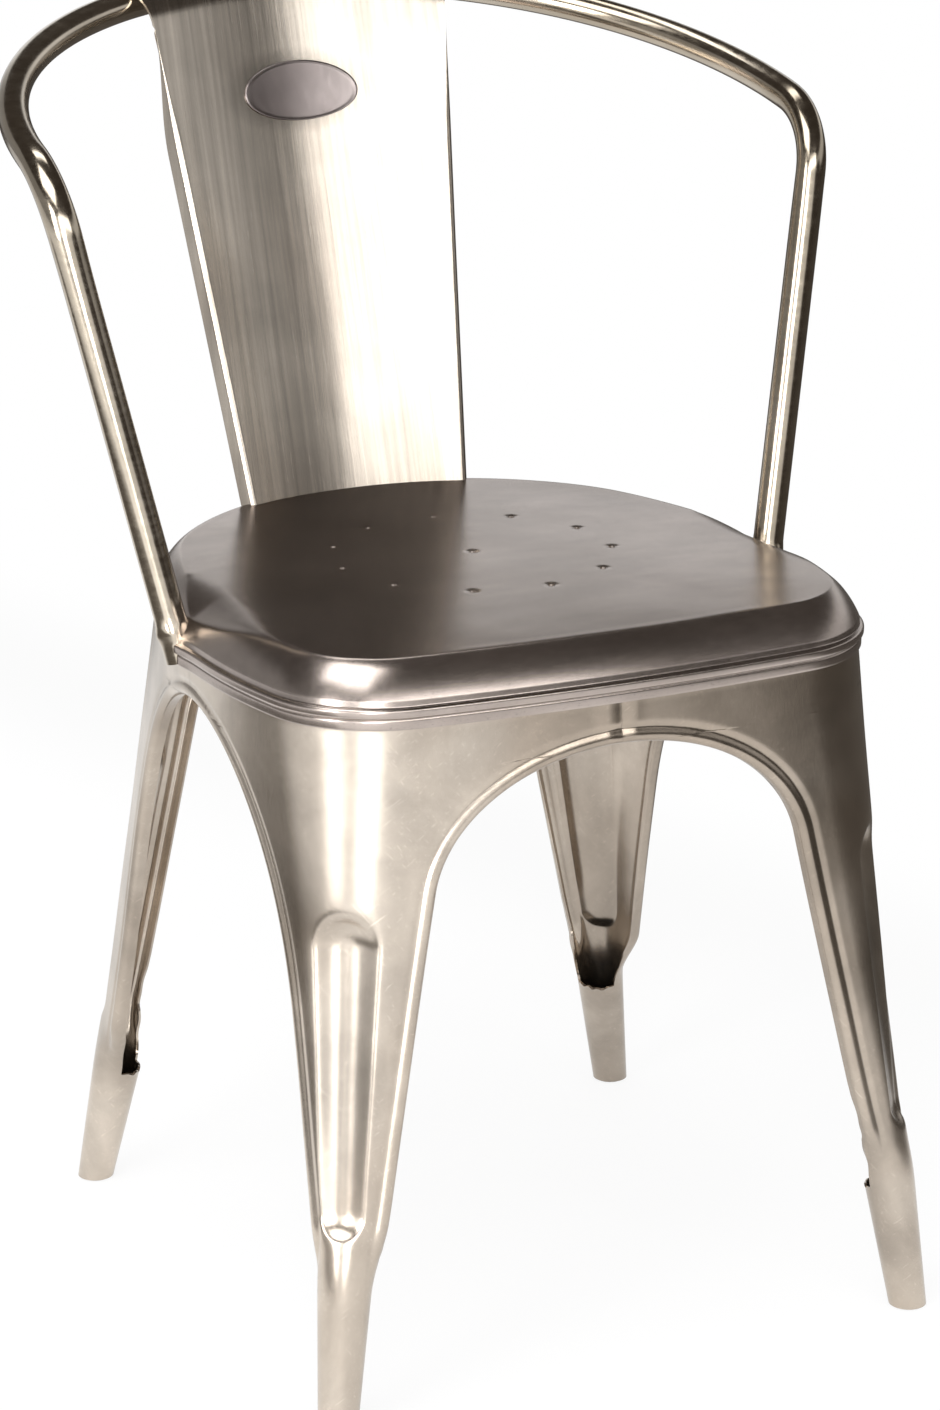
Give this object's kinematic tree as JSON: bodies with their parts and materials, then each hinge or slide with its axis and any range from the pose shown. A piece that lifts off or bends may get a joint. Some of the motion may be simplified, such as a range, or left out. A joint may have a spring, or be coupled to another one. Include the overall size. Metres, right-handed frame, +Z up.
{
  "type": "metal armchair",
  "caption": "Metal dining armchair: pressed sheet seat with drain holes, tapering fluted legs with arched edges, a bent tube for arms and back, and a curved sheet splat.",
  "frame": {"origin": "on the floor, under the middle of the chair's bounding box", "axes": "+Z up from the floor, -Y towards the front of the seat, +X towards the sitter's left"},
  "size_m": [0.525, 0.5422, 0.7718],
  "materials": {
    "seat_steel": "fine brushed under clear lacquer",
    "leg_steel": "mottled brushed under clear lacquer",
    "tube_steel": "polished under clear lacquer",
    "splat_steel": "upright brushed under clear lacquer",
    "plate_steel": "satin",
    "brace_steel": "satin",
    "plug_rubber": "matt"
  },
  "bodies": {
    "root": {"seat_pan": "seat_steel", "leg_front_right": "leg_steel", "leg_front_left": "leg_steel", "leg_rear_right": "leg_steel", "leg_rear_left": "leg_steel", "back_tube": "tube_steel", "back_splat": "splat_steel", "oval_plate": "plate_steel", "brace_lower": "brace_steel", "brace_upper": "brace_steel", "foot_plug_front_right": "plug_rubber", "foot_plug_front_left": "plug_rubber", "foot_plug_rear_right": "plug_rubber", "foot_plug_rear_left": "plug_rubber"}
  },
  "joints": []
}
